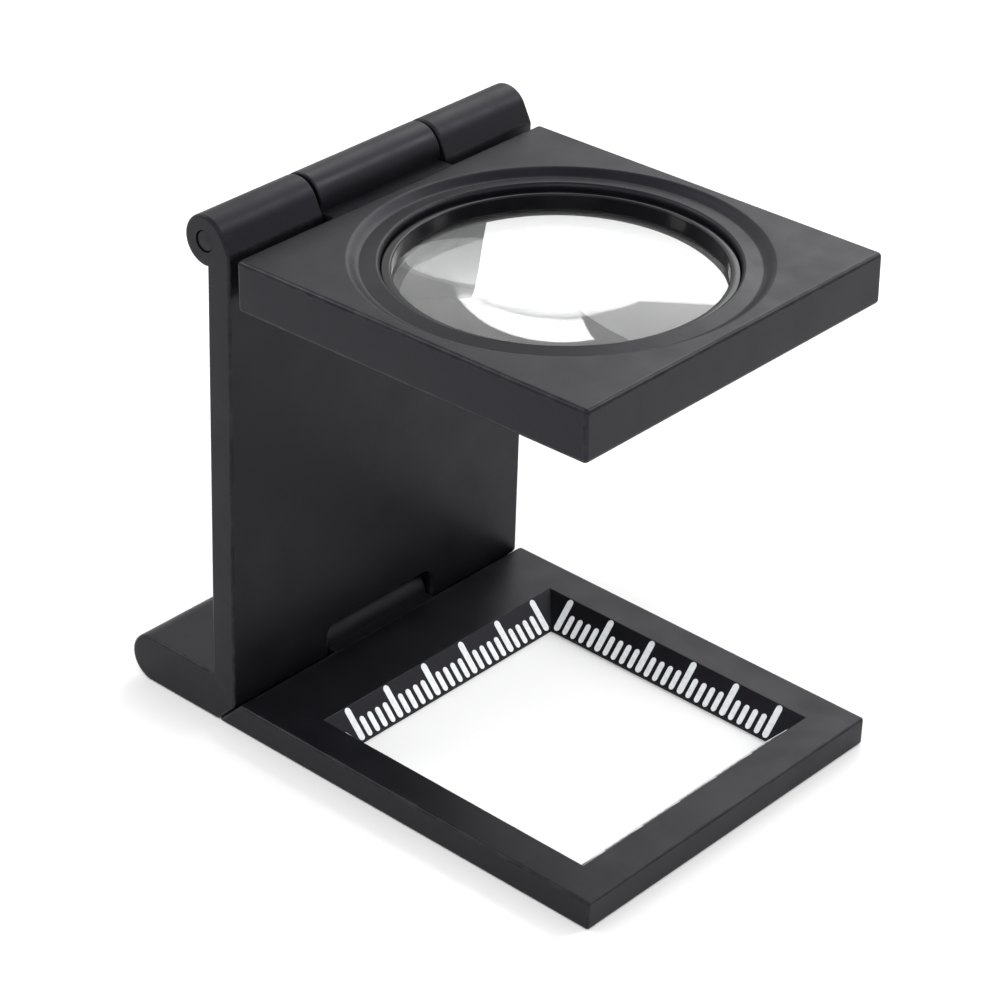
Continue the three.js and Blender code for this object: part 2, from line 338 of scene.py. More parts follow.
PAINT_CLOUD = (260, 3)
PAINT_GRAIN = (5200, 2, 0.6)
PAINT_PEEL = (1500, 2)
PAINT_DARK_SHARE = 0.86
PAINT_LIGHT_SHARE = 1.16
PAINT_SPECK_SHARE = 2.1
SPECK_WEIGHT = 0.35
SPECK_BAND = (0.60, 0.80)
# Edge wear and painted highlight: patches along the rounded edges turn a much lighter grey, partly
# wear of the paint and partly a painted highlight standing in for the bright lines light draws on
# rounded edges.
WEAR_AND_HIGHLIGHT_PATCHES = (520, 6, 0.7)
WEAR_AND_HIGHLIGHT_BAND = (0.42, 0.78)
WEAR_AND_HIGHLIGHT_WEIGHT = 0.5
WEAR_AND_HIGHLIGHT_BRIGHTER = 10.0
WEAR_SMOOTHER = 0.22
PAINT_ROUGHNESS_FALL = 0.05
PAINT_ROUGHNESS_RISE = 0.06
PEEL_BUMP = (0.18, 0.03 * MM)
GRAIN_BUMP = (0.22, 0.012 * MM)
PAINT_SPECULAR = 0.23
PAINT_SPECULAR_TINT = (0.82, 0.82, 0.95, 1.0)

RING_CLOUD = (420, 3)
RING_RIPPLE = (2600, 2)
RING_LIGHT_SHARE = 1.6
RING_ROUGHNESS = (0.10, 0.20)
RING_SPECULAR = 0.20
RING_BUMP = (0.06, 0.01 * MM)

PIN_FINE = (3800, 3, 0.6)
PIN_CLOUD = (900, 3)
PIN_DARK = (0.012, 0.012, 0.014)
PIN_LIGHT = (0.030, 0.030, 0.034)
PIN_METALLIC = 0.85
PIN_ROUGHNESS = (0.30, 0.52)
PIN_BUMP = (0.25, 0.01 * MM)

GLASS_COLOUR = (0.985, 0.99, 0.99, 1)
GLASS_TRANSMISSION = 0.95
GLASS_INDEX = 1.50
GLASS_HAZE = (310, 4, 0.6)
GLASS_HAZE_BAND = (0.45, 0.75)
GLASS_ROUGHNESS = (0.0, 0.012)

MARK_UNEVEN = (2400, 3, 0.6)
MARK_GREY_SHARE = 0.86
MARK_GREY_BAND = (0.35, 0.6)
MARK_ROUGHNESS = (0.52, 0.72)
MARK_BUMP = (0.3, 0.02 * MM)


def scaled(colour, share):
    return tuple(part * share for part in colour)


def satin_paint(name, colour, lift, roughness):
    """Sprayed satin paint: fine orange peel, dust-fine grain, and broken wear with a painted
    highlight on its edges.
    """
    nodes = Nodes(name)
    sockets = nodes.shader.inputs
    cloud = nodes.noise(*PAINT_CLOUD)
    grain = nodes.noise(*PAINT_GRAIN)
    peel = nodes.noise(*PAINT_PEEL)
    lifted = scaled(colour, lift)
    coat = nodes.blend(nodes.span(cloud, 0, 1, *MIDDLE_BAND),
                       scaled(lifted, PAINT_DARK_SHARE), scaled(lifted, PAINT_LIGHT_SHARE))
    speck = nodes.span(grain, 0, SPECK_WEIGHT, *SPECK_BAND)
    coat = nodes.blend(speck, coat, scaled(lifted, PAINT_SPECK_SHARE))
    edge = nodes.attribute(EDGE_ATTRIBUTE)
    patch = nodes.span(nodes.noise(*WEAR_AND_HIGHLIGHT_PATCHES), 0, 1, *WEAR_AND_HIGHLIGHT_BAND)
    worn_and_highlit = nodes.maths("MULTIPLY", nodes.maths("MULTIPLY", edge, patch), WEAR_AND_HIGHLIGHT_WEIGHT)
    # Painted highlight mixed with wear: the rounded edges are coloured up to ten times lighter
    # than the paint.
    rubbed_and_highlight = (min(1.0, lifted[1] * WEAR_AND_HIGHLIGHT_BRIGHTER),) * 3
    nodes.link(nodes.blend(worn_and_highlit, coat, rubbed_and_highlight), sockets["Base Color"])
    rough = nodes.span(cloud, roughness - PAINT_ROUGHNESS_FALL,
                       roughness + PAINT_ROUGHNESS_RISE, *MIDDLE_BAND)
    rough = nodes.maths("SUBTRACT", rough, nodes.maths("MULTIPLY", worn_and_highlit, WEAR_SMOOTHER))
    nodes.link(rough, sockets["Roughness"])
    first = nodes.bump(peel, *PEEL_BUMP)
    nodes.link(nodes.bump(grain, *GRAIN_BUMP, first), sockets["Normal"])
    sockets["Specular IOR Level"].default_value = PAINT_SPECULAR
    sockets["Specular Tint"].default_value = PAINT_SPECULAR_TINT
    return nodes.material


def gloss_ring(name, colour):
    """Gloss black with a faint ripple."""
    nodes = Nodes(name)
    sockets = nodes.shader.inputs
    cloud = nodes.noise(*RING_CLOUD)
    nodes.link(nodes.blend(cloud, colour, scaled(colour, RING_LIGHT_SHARE)), sockets["Base Color"])
    nodes.link(nodes.span(cloud, *RING_ROUGHNESS, *MIDDLE_BAND), sockets["Roughness"])
    sockets["Specular IOR Level"].default_value = RING_SPECULAR
    ripple = nodes.noise(*RING_RIPPLE)
    nodes.link(nodes.bump(ripple, *RING_BUMP), sockets["Normal"])
    return nodes.material


def pin_steel(name):
    """Blackened steel with a fine uneven finish."""
    nodes = Nodes(name)
    sockets = nodes.shader.inputs
    fine = nodes.noise(*PIN_FINE)
    cloud = nodes.noise(*PIN_CLOUD)
    nodes.link(nodes.blend(cloud, PIN_DARK, PIN_LIGHT), sockets["Base Color"])
    sockets["Metallic"].default_value = PIN_METALLIC
    nodes.link(nodes.span(fine, *PIN_ROUGHNESS, *MIDDLE_BAND), sockets["Roughness"])
    nodes.link(nodes.bump(fine, *PIN_BUMP), sockets["Normal"])
    return nodes.material


def lens_glass(name):
    """Clear glass with a trace of handling haze on its polish."""
    nodes = Nodes(name)
    sockets = nodes.shader.inputs
    sockets["Base Color"].default_value = GLASS_COLOUR
    sockets["Transmission Weight"].default_value = GLASS_TRANSMISSION
    sockets["IOR"].default_value = GLASS_INDEX
    haze = nodes.noise(*GLASS_HAZE)
    nodes.link(nodes.span(haze, *GLASS_ROUGHNESS, *GLASS_HAZE_BAND), sockets["Roughness"])
    return nodes.material


def mark_paint(name, colour):
    """Matt white fill, a little thin and uneven."""
    nodes = Nodes(name)
    sockets = nodes.shader.inputs
    thin = nodes.noise(*MARK_UNEVEN)
    nodes.link(nodes.blend(nodes.span(thin, 0, 1, *MARK_GREY_BAND),
                           scaled(colour, MARK_GREY_SHARE), colour), sockets["Base Color"])
    nodes.link(nodes.span(thin, *MARK_ROUGHNESS, *MIDDLE_BAND), sockets["Roughness"])
    nodes.link(nodes.bump(thin, *MARK_BUMP), sockets["Normal"])
    return nodes.material


# ---- Shape helpers ----

# Steps of each round shape.
ARC_STEPS = 40
CORNER_STEPS = 8
NOSE_STEPS = 12
MARK_END_STEPS = 6
ROD_STEPS = 72
LIP_STEPS = 10
DISH_STEPS = 14
LENS_FACE_STEPS = 36
LENS_STEPS = 144
SEAT_STEPS = 160

# Roundings of the smaller edges, and how sharp an edge, in degrees, has to be to get one.
TONGUE_EDGE = 0.15 * MM
KNUCKLE_EDGE = 0.18 * MM
RING_EDGE = 0.16 * MM
PIN_EDGE = 0.12 * MM
BASE_CUT_EDGE = 0.06 * MM
PLATE_CUT_EDGE = 0.07 * MM
EDGE_ANGLE = 24
CUT_EDGE_ANGLE = 38
PIN_EDGE_ANGLE = 60
EDGE_SEGMENTS = 4
CUT_EDGE_SEGMENTS = 2

# How sharp an edge, in degrees, has to be to stay sharp in the shading.
SHADING_ANGLE = 40
LENS_SHADING_ANGLE = 30
FLAT_FACE_WEIGHT = 80

# Corners closer than this become one corner, as drawn, before rounding and after it. Faces
# within this many degrees become one face.
DRAWN_MERGE = 1e-7
CUT_MERGE = 2e-6
ROUNDED_MERGE = 1e-6
FLAT_ANGLE = 0.05

CUT_MARGIN = 1 * MM
FIXED_PIN_GAP = 0.05 * MM
TURNING_PIN_GAP = 0.06 * MM
SWAP_X_AND_Y = Matrix(((0, 1, 0, 0), (1, 0, 0, 0), (0, 0, 1, 0), (0, 0, 0, 1)))


def arc(centre_x, centre_z, radius, start, end, steps):
    """Points on an arc in X and Z, both ends included, angles from +X towards +Z."""
    return [
        (centre_x + radius * math.cos(start + (end - start) * step / steps),
         centre_z + radius * math.sin(start + (end - start) * step / steps))
        for step in range(steps + 1)
    ]


def across(outline, low_y, high_y):
    """A closed body: an outline in X and Z extruded along Y."""
    body = bmesh.new()
    corners = [body.verts.new((x, low_y, z)) for x, z in outline]
    face = body.faces.new(corners)
    pushed = bmesh.ops.extrude_face_region(body, geom=[face])
    moved = [part for part in pushed["geom"] if isinstance(part, bmesh.types.BMVert)]
    bmesh.ops.translate(body, verts=moved, vec=(0, high_y - low_y, 0))
    bmesh.ops.recalc_face_normals(body, faces=body.faces)
    return body


def turned(outline, steps):
    """A body of revolution about Z from an outline of radius and height."""
    body = bmesh.new()
    ring = [body.verts.new((radius, 0, height)) for radius, height in outline]
    edges = [body.edges.new((a, b)) for a, b in zip(ring, ring[1:])]
    bmesh.ops.spin(body, geom=ring + edges, axis=(0, 0, 1), cent=(0, 0, 0),
                   angle=math.tau, steps=steps, use_merge=True)
    bmesh.ops.remove_doubles(body, verts=body.verts, dist=DRAWN_MERGE)
    bmesh.ops.recalc_face_normals(body, faces=body.faces)
    return body


def to_piece(name, body, material):
    """Makes an object of a body, which is used up."""
    mesh = bpy.data.meshes.new(name)
    bmesh.ops.recalc_face_normals(body, faces=body.faces)
    body.to_mesh(mesh)
    body.free()
    piece = bpy.data.objects.new(name, mesh)
    bpy.context.scene.collection.objects.link(piece)
    mesh.materials.append(material)
    return piece


def cut(piece, cutter):
    """Takes the cutter out of the piece and throws the cutter away."""
    modifier = piece.modifiers.new("cut", "BOOLEAN")
    modifier.operation = "DIFFERENCE"
    modifier.solver = "EXACT"
    modifier.object = cutter
    bake(piece)
    bpy.data.objects.remove(cutter)


def join_in(piece, other):
    """Makes the other piece part of this one."""
    modifier = piece.modifiers.new("join", "BOOLEAN")
    modifier.operation = "UNION"
    modifier.solver = "EXACT"
    modifier.object = other
    bake(piece)
    bpy.data.objects.remove(other)


def bake(piece):
    """Makes the piece's modifiers part of its mesh."""
    bpy.context.view_layer.update()
    graph = bpy.context.evaluated_depsgraph_get()
    mesh = bpy.data.meshes.new_from_object(piece.evaluated_get(graph))
    old = piece.data
    piece.modifiers.clear()
    piece.data = mesh
    mesh.name = piece.name
    bpy.data.meshes.remove(old)


def soften(piece, radius, angle=EDGE_ANGLE, segments=EDGE_SEGMENTS):
    """Rounds every outward edge sharper than the angle, and marks the rounding for wear and a
    painted highlight.
    """
    body = bmesh.new()
    body.from_mesh(piece.data)
    if body.faces.layers.float.get(EDGE_ATTRIBUTE) is None:
        body.faces.layers.float.new(EDGE_ATTRIBUTE)
    bmesh.ops.remove_doubles(body, verts=body.verts, dist=CUT_MERGE)
    bmesh.ops.dissolve_limit(body, angle_limit=math.radians(FLAT_ANGLE), verts=body.verts,
                             edges=body.edges)
    sharp = [edge for edge in body.edges if len(edge.link_faces) == 2
             and edge.calc_face_angle_signed(0) > math.radians(angle)]
    made = bmesh.ops.bevel(body, geom=sharp, offset=radius, offset_type="OFFSET",
                           segments=segments, profile=0.5, affect="EDGES", material=-1,
                           clamp_overlap=False, loop_slide=True)
    layer = body.faces.layers.float[EDGE_ATTRIBUTE]
    for face in made["faces"]:
        face[layer] = 1.0
    bmesh.ops.remove_doubles(body, verts=body.verts, dist=ROUNDED_MERGE)
    bmesh.ops.triangulate(body, faces=[face for face in body.faces if len(face.verts) > 4])
    body.to_mesh(piece.data)
    body.free()
    shade_smooth(piece)


def shade_smooth(piece):
    for polygon in piece.data.polygons:
        polygon.use_smooth = True


def lean_open(piece, angle):
    """Turns a piece drawn square about the upper hinge axis to where the open plate is."""
    turn = Matrix.Rotation(-angle, 4, "Y")
    shift = Matrix.Translation((LENS_AXIS.x, 0, LENS_AXIS.z))
    piece.data.transform(shift @ turn)


def finish_piece(piece, body_name, slot_name, *nodes):
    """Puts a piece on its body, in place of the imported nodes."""
    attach(piece, body_name)
    if nodes:
        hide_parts(*nodes)


# ---- Places that follow from the settings ----


def plate_places(castings):
    """The lens plate's rear, front, top and bottom, measured from the upper hinge axis."""
    rear = UPRIGHT_FRONT + castings.plate_gap - LENS_AXIS.x
    top = -castings.plate_top_drop
    return rear, rear + castings.plate_length, top, top - castings.plate_thickness


def window_places(castings, window):
    """The window's centre in X, its half side at the table and its half side at the top."""
    rear_edge = UPRIGHT_FRONT + castings.foot_gap
    half_top = window.side / 2 + window.flare
    return rear_edge + window.rear_rail + half_top, window.side / 2, half_top


def lens_places(castings, lens):
    """Heights and radii of the lens and its seat, measured from the upper hinge axis."""
    rear, front, top, bottom = plate_places(castings)
    seat_radius = lens.radius + lens.side_gap
    seat = bottom + lens.seat_floor
    lip_radius = seat_radius - lens.seat_lip
    ring_inner = seat_radius - lens.ring_wall
    rim_low = seat + lens.seat_gap + cap_height(lens.radius, lip_radius, lens.bottom_sag)
    rim_high = rim_low + lens.edge_thickness
    return {
        "centre": (rear + front) / 2,
        "top": top,
        "bottom": bottom,
        "seat": seat,
        "seat_radius": seat_radius,
        "lip_radius": lip_radius,
        "ring_inner": ring_inner,
        "ring_outer": seat_radius - lens.ring_side_gap,
        "rim_low": rim_low,
        "rim_high": rim_high,
        "ring_low": rim_high + lens.seat_gap + cap_height(lens.radius, ring_inner, lens.top_sag),
        "ring_high": top - lens.dish_depth,
        "dish_radius": seat_radius + lens.dish_width,
    }


def cap_height(rim_radius, radius, sag):
    """Height of a spherical face above its rim, at a distance from the lens's axis."""
    curve = (rim_radius ** 2 + sag ** 2) / (2 * sag)
    return math.sqrt(curve ** 2 - radius ** 2) - (curve - sag)


def stand_outline(castings):
    """The stand's outline in X and Z, before the notch and the slot are cut."""
    front = UPRIGHT_FRONT
    back = front - castings.upright_thickness
    mitre = front + castings.foot_gap - castings.mitre_seat_gap * math.sqrt(2)
    shoulder = front - LENS_AXIS.x
    reach = math.hypot(shoulder, castings.plate_top_drop)
    slope = math.atan2(-castings.plate_top_drop, shoulder)
    slope += math.acos(castings.lens_barrel_radius / reach)
    behind = -math.acos(castings.axis_set_back / castings.lens_barrel_radius)
    fillet = castings.heel_fillet
    quarter = math.pi / 2
    points = [(mitre - castings.base_thickness, 0)]
    points += arc(HEEL_AXIS.x, HEEL_AXIS.z, castings.heel_barrel_radius,
                  -quarter, -3 * quarter, ARC_STEPS)
    points += arc(back - fillet, HEEL_HEIGHT + fillet, fillet, -quarter, 0, CORNER_STEPS)
    points += arc(LENS_AXIS.x, LENS_AXIS.z, castings.lens_barrel_radius,
                  behind, slope - math.tau, 2 * ARC_STEPS)
    points.append((front, LENS_AXIS.z - castings.plate_top_drop))
    points.append((front, castings.base_thickness + front - mitre))
    return points


def slot_outline(castings):
    """The tongue's slot in Y and Z, with round upper corners."""
    half = castings.tongue_width / 2 + castings.side_gap
    top = HEEL_HEIGHT + castings.slot_top_gap
    corner = castings.slot_corner
    points = [(-half, -CUT_MARGIN), (half, -CUT_MARGIN)]
    quarter = math.pi / 2
    points += arc(half - corner, top - corner, corner, 0, quarter, CORNER_STEPS)
    points += arc(corner - half, top - corner, corner, quarter, math.pi, CORNER_STEPS)
    return points


def along_x(outline, low_x, high_x):
    """A closed body: an outline in Y and Z extruded along X."""
    body = across(outline, low_x, high_x)
    bmesh.ops.transform(body, matrix=SWAP_X_AND_Y, verts=body.verts)
    bmesh.ops.recalc_face_normals(body, faces=body.faces)
    return body


def cuboid(low, high):
    """A box between two corners."""
    body = bmesh.new()
    bmesh.ops.create_cube(body, size=1)
    size = [b - a for a, b in zip(low, high)]
    middle = [(a + b) / 2 for a, b in zip(low, high)]
    bmesh.ops.scale(body, vec=size, verts=body.verts)
    bmesh.ops.translate(body, vec=middle, verts=body.verts)
    return body


def rod_along_y(radius, x, z, low_y, high_y):
    """A round rod along Y."""
    body = bmesh.new()
    bmesh.ops.create_cone(body, cap_ends=True, segments=ROD_STEPS, radius1=radius,
                          radius2=radius, depth=high_y - low_y)
    bmesh.ops.rotate(body, matrix=Matrix.Rotation(math.pi / 2, 3, "X"), verts=body.verts)
    bmesh.ops.translate(body, vec=(x, (low_y + high_y) / 2, z), verts=body.verts)
    return body


def tool(body):
    """A cutter: a body that another piece is cut or joined with, and that is then removed."""
    mesh = bpy.data.meshes.new("cutter")
    bmesh.ops.recalc_face_normals(body, faces=body.faces)
    body.to_mesh(mesh)
    body.free()
    cutter = bpy.data.objects.new("cutter", mesh)
    bpy.context.scene.collection.objects.link(cutter)
    return cutter


# ---- Operators, one for each piece or group of like pieces ----

# Each casting's paint: how much lighter than the setting it is, and its roughness.
STAND_FINISH = (0.95, 0.42)
BASE_FINISH = (1.0, 0.40)
PLATE_FINISH = (1.12, 0.38)

# How far the tongue's root keeps inside the base plate.
TONGUE_BURIED = 0.02 * MM

# Marks: how long a long one is as a share of the side, how much wider than a short one it
# is, how high the paint stands, and where marks start above the land.
LONG_MARK_SHARE = 0.96
LONG_MARK_WIDER = 1.2
MARK_HEIGHT = 0.03 * MM
MARK_START = 0.06 * MM

# The dish: where the arc of its lip ends, and how much of its rise is even.
LIP_END = 0.55 * math.pi
EVEN_SHARE = 0.04


class LINENTESTER_OT_stand(bpy.types.Operator):
    """Make the stand: upright, upper knuckles and heel"""

    bl_idname = "linentester.stand"
    bl_label = "Stand"

    def execute(self, context):
        castings = context.scene.linen_castings
        paint = satin_paint("stand_paint", castings.paint, *STAND_FINISH)
        body = across(stand_outline(castings), -HALF_WIDTH, HALF_WIDTH)
        piece = to_piece("stand_casting", body, paint)
        half = castings.knuckle_width / 2 + castings.side_gap
        floor = LENS_AXIS.z - castings.neck_depth - castings.stop_gap
        cut(piece, tool(cuboid(
            (STAND_LOW.x, -half, floor),
            (UPRIGHT_FRONT + CUT_MARGIN, half, STAND_HIGH.z + CUT_MARGIN))))
        cut(piece, tool(along_x(slot_outline(castings), STAND_LOW.x - CUT_MARGIN,
                                UPRIGHT_FRONT + CUT_MARGIN)))
        soften(piece, castings.edge_radius)
        hole = castings.pin_radius + FIXED_PIN_GAP
        outside = HALF_WIDTH + CUT_MARGIN
        cut(piece, tool(rod_along_y(hole, LENS_AXIS.x, LENS_AXIS.z, -outside, outside)))
        cut(piece, tool(rod_along_y(hole, HEEL_AXIS.x, HEEL_AXIS.z,
                                    BASE_PIN_LOW.y - FIXED_PIN_GAP, outside)))
        settle_normals(piece)
        finish_piece(piece, "stand", "casting_paint", "stand")
        return {"FINISHED"}


class LINENTESTER_OT_base_plate(bpy.types.Operator):
    """Make the windowed base plate with its tongue"""

    bl_idname = "linentester.base_plate"
    bl_label = "Base plate"

    def execute(self, context):
        castings = context.scene.linen_castings
        window = context.scene.linen_window
        paint = satin_paint("base_paint", castings.paint, *BASE_FINISH)
        thick = castings.base_thickness
        rear = UPRIGHT_FRONT + castings.foot_gap
        frame_outline = [(rear - thick, 0), (BASE_HIGH.x, 0), (BASE_HIGH.x, thick), (rear, thick)]
        piece = to_piece("base_casting", across(frame_outline, -HALF_WIDTH, HALF_WIDTH), paint)
        soften(piece, castings.edge_radius)
        nose = HEEL_HEIGHT - thick
        nose_x = UPRIGHT_FRONT - castings.nose_recess - nose
        root = rear + CUT_MARGIN
        quarter = math.pi / 2
        tongue_top = thick - TONGUE_BURIED
        tongue = [(root, TONGUE_BURIED), (root, tongue_top), (nose_x + nose, tongue_top)]
        tongue += arc(nose_x, thick, nose, 0, quarter, NOSE_STEPS)
        tongue += arc(HEEL_AXIS.x, HEEL_AXIS.z, castings.heel_barrel_radius,
                      quarter, 3 * quarter, ARC_STEPS)
        tongue.append((rear - thick, 0))
        half = castings.tongue_width / 2
        tongue_piece = to_piece("cutter", across(tongue, -half, half), paint)
        soften(tongue_piece, TONGUE_EDGE)
        join_in(piece, tongue_piece)
        centre, half_low, half_top = window_places(castings, window)
        cut(piece, tool(window_body(centre, half_low, half_top, window.land, thick)))
        cut(piece, tool(rod_along_y(castings.pin_radius + TURNING_PIN_GAP,
                                    HEEL_AXIS.x, HEEL_AXIS.z, -HALF_WIDTH, HALF_WIDTH)))
        soften(piece, BASE_CUT_EDGE, CUT_EDGE_ANGLE, CUT_EDGE_SEGMENTS)
        settle_normals(piece)
        finish_piece(piece, "base", "base_paint", "base_plate")
        return {"FINISHED"}


def window_body(centre, half_low, half_top, land, thick):
    """The window's cutter: a square land with sides that lean outwards above it."""
    body = bmesh.new()
    lean = (half_top - half_low) / (thick - land)
    rings = ((-CUT_MARGIN, half_low), (land, half_low),
             (thick + CUT_MARGIN, half_top + lean * CUT_MARGIN))
    loops = []
    for height, half in rings:
        corners = [body.verts.new((centre + sx * half, sy * half, height))
                   for sx, sy in ((-1, -1), (1, -1), (1, 1), (-1, 1))]
        loops.append([body.edges.new((a, b)) for a, b in zip(corners, corners[1:] + corners[:1])])
    for lower, upper in zip(loops, loops[1:]):
        bmesh.ops.bridge_loops(body, edges=lower + upper)
    bmesh.ops.contextual_create(body, geom=loops[0])
    bmesh.ops.contextual_create(body, geom=loops[-1])
    return body


class LINENTESTER_OT_scale_marks(bpy.types.Operator):
    """Paint the millimetre scales on the window's leaning sides"""

    bl_idname = "linentester.scale_marks"
    bl_label = "Scale marks"

    def execute(self, context):
        castings = context.scene.linen_castings
        window = context.scene.linen_window
        centre, half_low, half_top = window_places(castings, window)
        rise = castings.base_thickness - window.land
        slope = math.hypot(window.flare, rise)
        steps = round(window.long_step / window.short_step)
        span = round((window.side - window.short_step) / window.short_step)
        body = bmesh.new()
        for side in range(4):
            turn = Matrix.Rotation(side * math.pi / 2, 4, "Z")
            for count in range(span + 1):
                long_mark = count % steps == 0
                share = LONG_MARK_SHARE if long_mark else window.short_share
                width = window.mark_width * (LONG_MARK_WIDER if long_mark else 1)
                offset = (count - span / 2) * window.short_step
                mark = rounded_bar(width, slope * share, MARK_HEIGHT)
                across_face = Vector((0, -1, 0))
                up_face = Vector((window.flare, 0, rise)) / slope
                out_face = across_face.cross(up_face)
                start = Vector((half_low, offset, window.land)) + up_face * MARK_START
                place = Matrix.Translation(start) @ Matrix(
                    (across_face, up_face, out_face)).transposed().to_4x4()
                whole = Matrix.Translation((centre, 0, 0)) @ turn @ place
                bmesh.ops.transform(mark, matrix=whole, verts=mark.verts)
                pour(mark, body)
        piece = to_piece("scale_marks", body, mark_paint("scale_paint", window.mark_paint))
        finish_piece(piece, "base", "scale_white")
        return {"FINISHED"}


def rounded_bar(width, length, thick):
    """A flat mark with round ends, standing on its own lower end."""
    body = bmesh.new()
    half = width / 2
    outline = arc(0, half, half, math.pi, math.tau, MARK_END_STEPS)
    outline += arc(0, length - half, half, 0, math.pi, MARK_END_STEPS)
    face = body.faces.new([body.verts.new((x, y, 0)) for x, y in outline])
    pushed = bmesh.ops.extrude_face_region(body, geom=[face])
    top = [part for part in pushed["geom"] if isinstance(part, bmesh.types.BMVert)]
    bmesh.ops.translate(body, verts=top, vec=(0, 0, thick))
    return body


def pour(source, target):
    """Adds one body's faces to another."""
    mesh = bpy.data.meshes.new("pour")
    bmesh.ops.recalc_face_normals(source, faces=source.faces)
    source.to_mesh(mesh)
    source.free()
    target.from_mesh(mesh)
    bpy.data.meshes.remove(mesh)


class LINENTESTER_OT_lens_plate(bpy.types.Operator):
    """Make the square lens plate with its knuckle and lens seat"""

    bl_idname = "linentester.lens_plate"
    bl_label = "Lens plate"

    def execute(self, context):
        castings = context.scene.linen_castings
        lens = context.scene.linen_lens
        paint = satin_paint("lens_plate_paint", castings.paint, *PLATE_FINISH)
        rear, front, top, bottom = plate_places(castings)
        places = lens_places(castings, lens)
        piece = to_piece("lens_plate_casting", cuboid(
            (rear, -HALF_WIDTH, bottom), (front, HALF_WIDTH, top)), paint)
        soften(piece, castings.plate_edge_radius)
        half = castings.knuckle_width / 2
        knuckle = to_piece("cutter", across(knuckle_outline(castings), -half, half), paint)
        soften(knuckle, KNUCKLE_EDGE)
        join_in(piece, knuckle)
        seat = turned(seat_outline(places, lens), SEAT_STEPS)
        bmesh.ops.translate(seat, vec=(places["centre"], 0, 0), verts=seat.verts)
        cut(piece, tool(seat))
        cut(piece, tool(rod_along_y(castings.pin_radius + TURNING_PIN_GAP, 0, 0,
                                    -HALF_WIDTH, HALF_WIDTH)))
        soften(piece, PLATE_CUT_EDGE, CUT_EDGE_ANGLE, CUT_EDGE_SEGMENTS)
        lean_open(piece, castings.open_lean)
        settle_normals(piece)
        finish_piece(piece, "lens_holder", "lens_plate_paint", "lens_plate")
        return {"FINISHED"}


def knuckle_outline(castings):
    """The lens plate's knuckle and neck in X and Z, drawn round the hinge axis."""
    rear = plate_places(castings)[0]
    lean = castings.open_lean
    end = rear + CUT_MARGIN

    def underside(x):
        return -(castings.neck_depth + x * math.sin(lean)) / math.cos(lean)

    start = -math.asin(castings.neck_top_drop / castings.lens_barrel_radius)
    points = [(end, underside(end)), (end, -castings.neck_top_drop)]
    points += arc(0, 0, castings.lens_barrel_radius, start, 1.5 * math.pi, 2 * ARC_STEPS)
    points.append((0, underside(0)))
    return points


def seat_outline(places, lens):
    """The dish, the bore and the opening under the lip, as radius and height."""
    low = places["bottom"] - CUT_MARGIN
    high = places["top"] + CUT_MARGIN
    bore = places["seat_radius"]
    dish = places["dish_radius"]
    foot = dish - lens.dish_shoulder - lens.dish_shoulder / 2
    foot_height = places["top"] - lens.dish_depth / 2 - lens.dish_depth / 8
    lip = lens.dish_lip
    points = [
        (0, low), (places["lip_radius"], low), (places["lip_radius"], places["seat"]),
        (bore, places["seat"]),
    ]
    points += arc(bore + lip, places["ring_high"] + lip / 2, lip, math.pi, LIP_END, LIP_STEPS)
    points += soft_step((foot, foot_height), (dish, places["top"]), DISH_STEPS)
    points += [(dish, high), (0, high)]
    return points


def soft_step(start, end, steps):
    """Points on an S-shaped rise from start to end that leaves and arrives almost level."""
    points = []
    for step in range(steps + 1):
        share = step / steps
        smooth = 3 * share ** 2 - 2 * share ** 3
        ease = EVEN_SHARE * share + (1 - EVEN_SHARE) * smooth
        points.append((start[0] + (end[0] - start[0]) * share,
                       start[1] + (end[1] - start[1]) * ease))
    return points


class LINENTESTER_OT_lens(bpy.types.Operator):
    """Make the glass lens"""

    bl_idname = "linentester.lens"
    bl_label = "Lens"

    def execute(self, context):
        castings = context.scene.linen_castings
        lens = context.scene.linen_lens
        places = lens_places(castings, lens)
        radii = [lens.radius * step / LENS_FACE_STEPS for step in range(LENS_FACE_STEPS + 1)]
        lower = [(r, places["rim_low"] - cap_height(lens.radius, r, lens.bottom_sag))
                 for r in radii]
        upper = [(r, places["rim_high"] + cap_height(lens.radius, r, lens.top_sag))
                 for r in reversed(radii)]
        body = turned(lower + upper, LENS_STEPS)
        bmesh.ops.translate(body, vec=(places["centre"], 0, 0), verts=body.verts)
        piece = to_piece("glass_lens", body, lens_glass("lens_glass"))
        shade_smooth(piece)
        piece.data.set_sharp_from_angle(angle=math.radians(LENS_SHADING_ANGLE))
        lean_open(piece, castings.open_lean)
        finish_piece(piece, "lens_holder", "lens_glass", "lens")
        return {"FINISHED"}


class LINENTESTER_OT_retaining_ring(bpy.types.Operator):
    """Make the gloss black ring that holds the lens"""

    bl_idname = "linentester.retaining_ring"
    bl_label = "Retaining ring"

    def execute(self, context):
        castings = context.scene.linen_castings
        lens = context.scene.linen_lens
        places = lens_places(castings, lens)
        corners = [(places["ring_inner"], places["ring_low"]),
                   (places["ring_outer"], places["ring_low"]),
                   (places["ring_outer"], places["ring_high"]),
                   (places["ring_inner"], places["ring_high"])]
        body = turned(corners + corners[:1], SEAT_STEPS)
        bmesh.ops.translate(body, vec=(places["centre"], 0, 0), verts=body.verts)
        piece = to_piece("retaining_ring", body, gloss_ring("ring_gloss", lens.ring_colour))
        soften(piece, RING_EDGE, CUT_EDGE_ANGLE)
        lean_open(piece, castings.open_lean)
        settle_normals(piece)
        finish_piece(piece, "lens_holder", "ring_gloss", "lens_retaining_ring")
        return {"FINISHED"}


